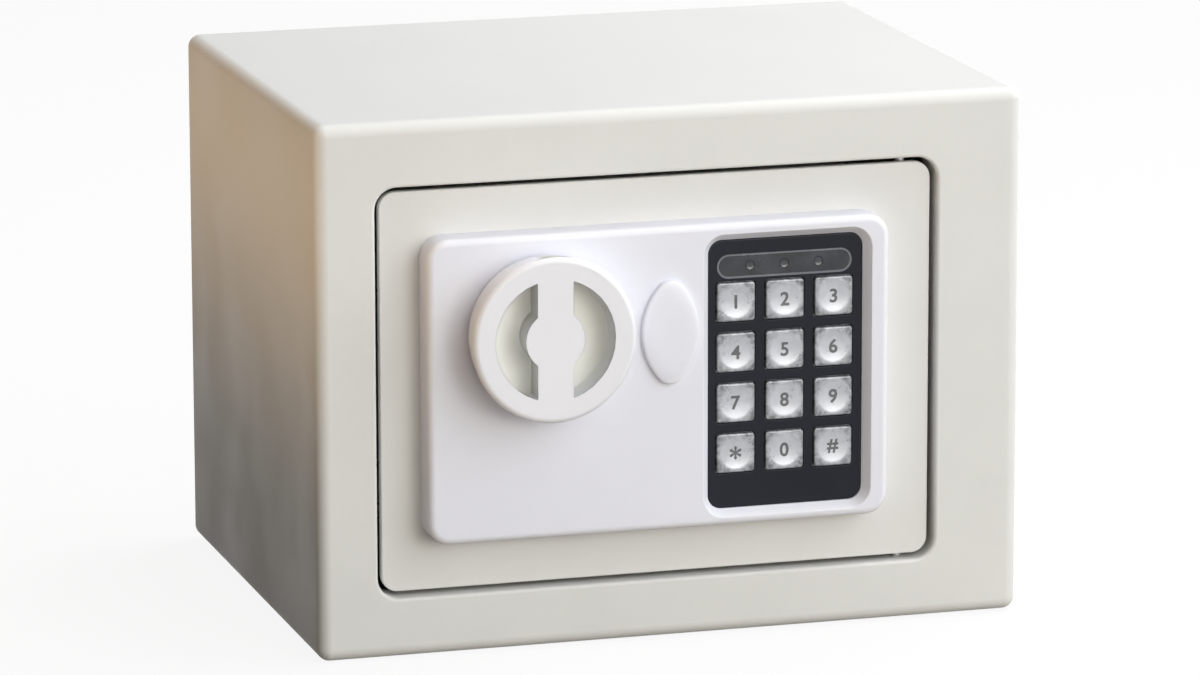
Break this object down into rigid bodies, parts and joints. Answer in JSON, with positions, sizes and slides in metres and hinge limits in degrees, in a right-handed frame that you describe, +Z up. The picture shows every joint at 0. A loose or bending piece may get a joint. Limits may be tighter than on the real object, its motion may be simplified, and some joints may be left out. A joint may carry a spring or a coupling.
{
  "type": "electronic safe box",
  "caption": "White steel safe box with a hinged door whose raised plastic panel carries a digital keypad, a bolt knob and a covered override lock.",
  "frame": {"origin": "middle of the base the box stands on", "axes": "+X to the viewer's right, +Y towards the back, +Z up; the door faces -Y"},
  "size_m": [0.23, 0.192, 0.17],
  "materials": {
    "case_paint": "smooth white powder coat",
    "bare_steel": "mill finish",
    "felt": "needle felt",
    "door_paint": "smooth white powder coat",
    "bright_steel": "turned and polished",
    "zinc_plate": "zinc plated, faintly yellow",
    "panel_plastic": "fine satin moulding",
    "screw_steel": "zinc plated",
    "bezel_plastic": "satin blue-black",
    "smoked_window": "smoked acrylic",
    "lamp_lens": "tinted epoxy",
    "grey_rubber": "silicone",
    "board_laminate": "green solder mask",
    "coil_tape": "wound tape",
    "spring_steel": "nickel plated wire",
    "lock_chrome": "plated die casting",
    "black_plastic": "fine textured moulding",
    "cell_jacket": "printed shrink jacket",
    "lead_red": "soft insulation",
    "lead_black": "soft insulation",
    "knob_plastic": "fine satin moulding",
    "lock_brass": "machined",
    "red_plastic": "moulded",
    "key_silver": "silver lacquered keycap"
  },
  "bodies": {
    "case": {"body_wrap": "case_paint", "front_frame": "case_paint", "back_panel": "case_paint", "hinge_brackets": "bare_steel", "floor_mat": "felt"},
    "door": {"door_plate": "door_paint", "door_hinge_blocks": "bare_steel", "hinge_pins": "bright_steel", "bolt_guide": "zinc_plate", "guide_studs": "bright_steel", "front_panel": "panel_plastic", "panel_screws": "screw_steel", "keypad_bezel": "bezel_plastic", "indicator_window": "smoked_window", "indicator_lamps": "lamp_lens", "key_membrane": "grey_rubber", "circuit_board": "board_laminate", "board_screws": "screw_steel", "solenoid_frame": "zinc_plate", "solenoid_coil": "coil_tape", "plunger_spring": "spring_steel", "lock_housing": "lock_chrome", "lock_nut": "bare_steel", "inner_cover": "door_paint", "cover_posts": "screw_steel", "cover_screws": "screw_steel", "battery_tray": "black_plastic", "battery_cells": "cell_jacket", "battery_contacts": "spring_steel", "reset_switch": "black_plastic", "battery_leads": "lead_red", "solenoid_leads": "lead_black"},
    "knob": {"knob": "knob_plastic", "knob_spindle": "bright_steel", "spindle_clip": "bare_steel", "crank_disc": "zinc_plate"},
    "bolts": {"bolt_carriage": "zinc_plate", "upper_bolt": "bright_steel", "lower_bolt": "bright_steel", "bolt_screws": "screw_steel"},
    "plunger": {"plunger": "bright_steel"},
    "override_core": {"lock_core": "lock_brass", "release_arm": "zinc_plate", "arm_nut": "bare_steel"},
    "oval_cover": {"oval_cover": "panel_plastic"},
    "battery_lid": {"battery_lid": "black_plastic"},
    "reset_button": {"reset_button": "red_plastic"},
    "key_1": {"key_1": "key_silver"},
    "key_2": {"key_2": "key_silver"},
    "key_3": {"key_3": "key_silver"},
    "key_4": {"key_4": "key_silver"},
    "key_5": {"key_5": "key_silver"},
    "key_6": {"key_6": "key_silver"},
    "key_7": {"key_7": "key_silver"},
    "key_8": {"key_8": "key_silver"},
    "key_9": {"key_9": "key_silver"},
    "key_star": {"key_star": "key_silver"},
    "key_0": {"key_0": "key_silver"},
    "key_hash": {"key_hash": "key_silver"}
  },
  "joints": [
    {"name": "door_hinge", "type": "hinge", "parent": "case", "child": "door", "pos_m": [0.0766, -0.0774, 0.08425], "axis": [0, 0, 1], "range_deg": [0, 90]},
    {"name": "knob_turn", "type": "hinge", "parent": "door", "child": "knob", "pos_m": [-0.0446, -0.1, 0.1032], "axis": [0, -1, 0], "range_deg": [0, 90]},
    {"name": "bolt_slide", "type": "slide", "parent": "door", "child": "bolts", "axis": [-1, 0, 0], "range_m": [0, 0.01131]},
    {"name": "plunger_slide", "type": "slide", "parent": "door", "child": "plunger", "axis": [0, 0, 1], "range_m": [0, 0.0045], "deforming": ["plunger_spring"]},
    {"name": "override_turn", "type": "hinge", "parent": "door", "child": "override_core", "pos_m": [-0.0036, -0.08, 0.1004], "axis": [0, 1, 0], "range_deg": [-90, 0]},
    {"name": "oval_cover_pull", "type": "slide", "parent": "door", "child": "oval_cover", "axis": [0, -1, 0], "range_m": [0, 0.02]},
    {"name": "battery_lid_pull", "type": "slide", "parent": "door", "child": "battery_lid", "axis": [0, 1, 0], "range_m": [0, 0.02]},
    {"name": "reset_press", "type": "slide", "parent": "door", "child": "reset_button", "axis": [0, -1, 0], "range_m": [0, 0.0015], "stiffness_N_per_m": 300},
    {"name": "key_1_press", "type": "slide", "parent": "door", "child": "key_1", "axis": [0, 1, 0], "range_m": [0, 0.0008], "stiffness_N_per_m": 500},
    {"name": "key_2_press", "type": "slide", "parent": "door", "child": "key_2", "axis": [0, 1, 0], "range_m": [0, 0.0008], "stiffness_N_per_m": 500},
    {"name": "key_3_press", "type": "slide", "parent": "door", "child": "key_3", "axis": [0, 1, 0], "range_m": [0, 0.0008], "stiffness_N_per_m": 500},
    {"name": "key_4_press", "type": "slide", "parent": "door", "child": "key_4", "axis": [0, 1, 0], "range_m": [0, 0.0008], "stiffness_N_per_m": 500},
    {"name": "key_5_press", "type": "slide", "parent": "door", "child": "key_5", "axis": [0, 1, 0], "range_m": [0, 0.0008], "stiffness_N_per_m": 500},
    {"name": "key_6_press", "type": "slide", "parent": "door", "child": "key_6", "axis": [0, 1, 0], "range_m": [0, 0.0008], "stiffness_N_per_m": 500},
    {"name": "key_7_press", "type": "slide", "parent": "door", "child": "key_7", "axis": [0, 1, 0], "range_m": [0, 0.0008], "stiffness_N_per_m": 500},
    {"name": "key_8_press", "type": "slide", "parent": "door", "child": "key_8", "axis": [0, 1, 0], "range_m": [0, 0.0008], "stiffness_N_per_m": 500},
    {"name": "key_9_press", "type": "slide", "parent": "door", "child": "key_9", "axis": [0, 1, 0], "range_m": [0, 0.0008], "stiffness_N_per_m": 500},
    {"name": "key_star_press", "type": "slide", "parent": "door", "child": "key_star", "axis": [0, 1, 0], "range_m": [0, 0.0008], "stiffness_N_per_m": 500},
    {"name": "key_0_press", "type": "slide", "parent": "door", "child": "key_0", "axis": [0, 1, 0], "range_m": [0, 0.0008], "stiffness_N_per_m": 500},
    {"name": "key_hash_press", "type": "slide", "parent": "door", "child": "key_hash", "axis": [0, 1, 0], "range_m": [0, 0.0008], "stiffness_N_per_m": 500}
  ],
  "couplings": [
    {"joint": "knob_turn", "follows": "bolt_slide", "rad_per_m": 138.84}
  ]
}
